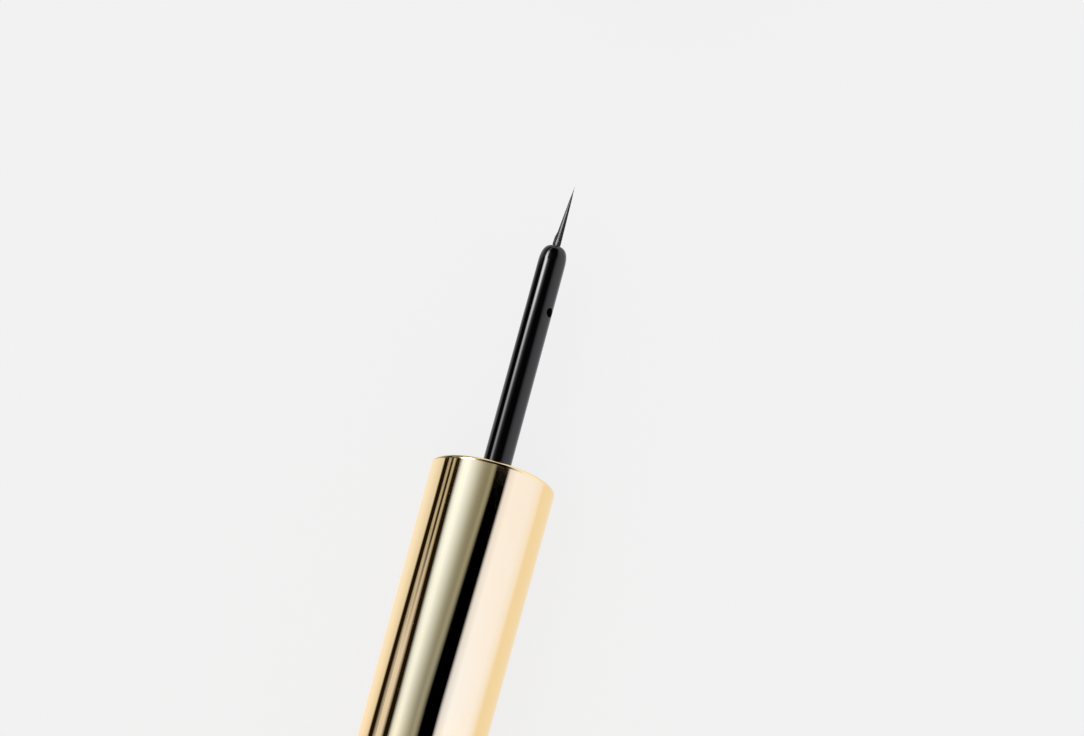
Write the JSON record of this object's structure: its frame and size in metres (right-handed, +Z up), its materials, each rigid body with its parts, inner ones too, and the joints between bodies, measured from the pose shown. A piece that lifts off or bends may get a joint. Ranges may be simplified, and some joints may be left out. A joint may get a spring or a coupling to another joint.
{
  "type": "liquid eyeliner",
  "caption": "Dip liquid eyeliner lying drawn open: mirror-gold cap with black wand and pointed brush, in line with its glossy black bottle with neck, wiper and mixing ball.",
  "frame": {"origin": "on the surface that the eyeliner lies on, under the middle of its whole drawn-out length", "axes": "+X along the pen's axis, from the cap's closed end towards the bottle's base; +Z up"},
  "size_m": [0.1852, 0.013, 0.013],
  "materials": {
    "gold_shell": "polished, gold anodised",
    "steel": "plain",
    "black_moulding": "as moulded",
    "washer_foam": "soft foam",
    "black_gloss": "high gloss",
    "bristles": "fine satin filament",
    "vial_plastic": "moulded, slightly glossy",
    "wiper_plastic": "soft, waxy"
  },
  "bodies": {
    "bottle": {"bottle_shell": "black_gloss", "shoulder_collar": "gold_shell", "vial": "vial_plastic", "wiper": "wiper_plastic"},
    "washer": {"seal_washer": "washer_foam"},
    "applicator": {"gold_cap": "gold_shell", "inner_cap": "black_moulding", "wand": "black_gloss", "brush_tuft": "bristles"},
    "ball": {"mixing_ball": "steel"}
  },
  "joints": [
    {"name": "cap_push", "type": "slide", "parent": "bottle", "child": "washer", "axis": [1, 0, 0], "range_m": [0, 0.0694]},
    {"name": "cap_turn", "type": "hinge", "parent": "washer", "child": "applicator", "pos_m": [-0.03055, 0, 0.0065], "axis": [1, 0, 0], "range_deg": [0, 540]},
    {"name": "ball_travel", "type": "slide", "parent": "bottle", "child": "ball", "axis": [-1, 0, 0], "range_m": [-0.00115, 0.04249]}
  ]
}
